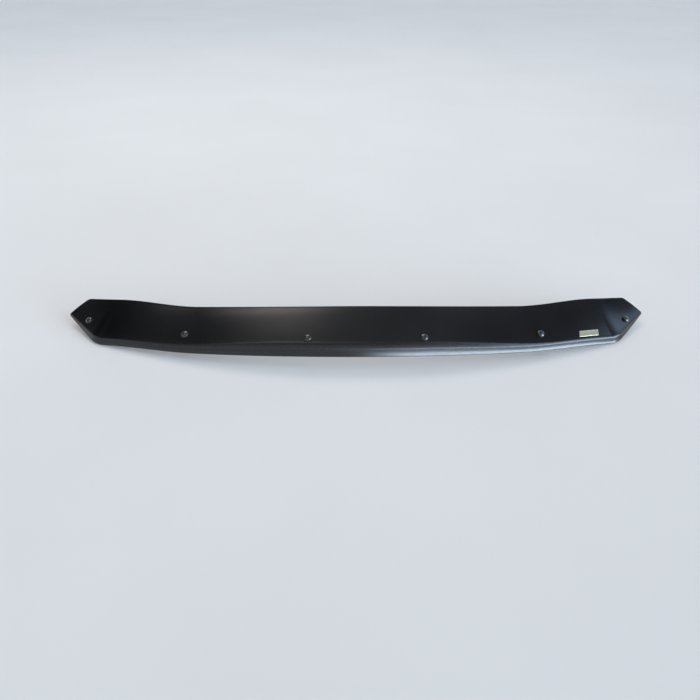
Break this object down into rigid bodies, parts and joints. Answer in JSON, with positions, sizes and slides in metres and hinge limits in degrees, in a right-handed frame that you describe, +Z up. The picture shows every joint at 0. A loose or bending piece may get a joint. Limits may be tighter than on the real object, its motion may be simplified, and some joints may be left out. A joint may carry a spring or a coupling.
{
  "type": "hood bug deflector",
  "caption": "Bowed gloss-black wind and insect deflector for a bonnet's front edge, with a rolled lip, swept ends, domed screw caps and hidden clamp brackets.",
  "frame": {"origin": "mid-plane point on the front line of the mounting edge, where the inner faces of the hook liners lie, level with the lip's lower edge", "axes": "+X along the shield to the right as seen from in front, +Y rearwards into the hooks, +Z up"},
  "size_m": [1.4692, 0.2408, 0.1233],
  "materials": {
    "acrylic_black": "polished opaque black acrylic sheet, thermoformed",
    "cap_plastic": "moulded black nylon, satin gloss",
    "washer_plastic": "moulded black nylon, matt",
    "plated_steel": "bright zinc plate",
    "coated_steel": "satin black powder coat",
    "liner_rubber": "smooth matt EPDM strip",
    "pad_rubber": "matt EPDM",
    "buffer_rubber": "matt moulded rubber"
  },
  "bodies": {
    "root": {"bracket_1": "coated_steel", "bracket_2": "coated_steel", "bracket_3": "coated_steel", "bracket_4": "coated_steel", "bracket_5": "coated_steel", "bracket_6": "coated_steel", "buffer_1": "buffer_rubber", "buffer_2": "buffer_rubber", "buffer_3": "buffer_rubber", "buffer_4": "buffer_rubber", "clamp_screws": "plated_steel", "fixing_screws": "plated_steel", "liner_1": "liner_rubber", "liner_2": "liner_rubber", "liner_3": "liner_rubber", "liner_4": "liner_rubber", "liner_5": "liner_rubber", "liner_6": "liner_rubber", "pad_1": "pad_rubber", "pad_2": "pad_rubber", "pad_3": "pad_rubber", "pad_4": "pad_rubber", "pad_5": "pad_rubber", "pad_6": "pad_rubber", "screw_caps": "cap_plastic", "shield": "acrylic_black", "washers": "washer_plastic"}
  },
  "joints": []
}
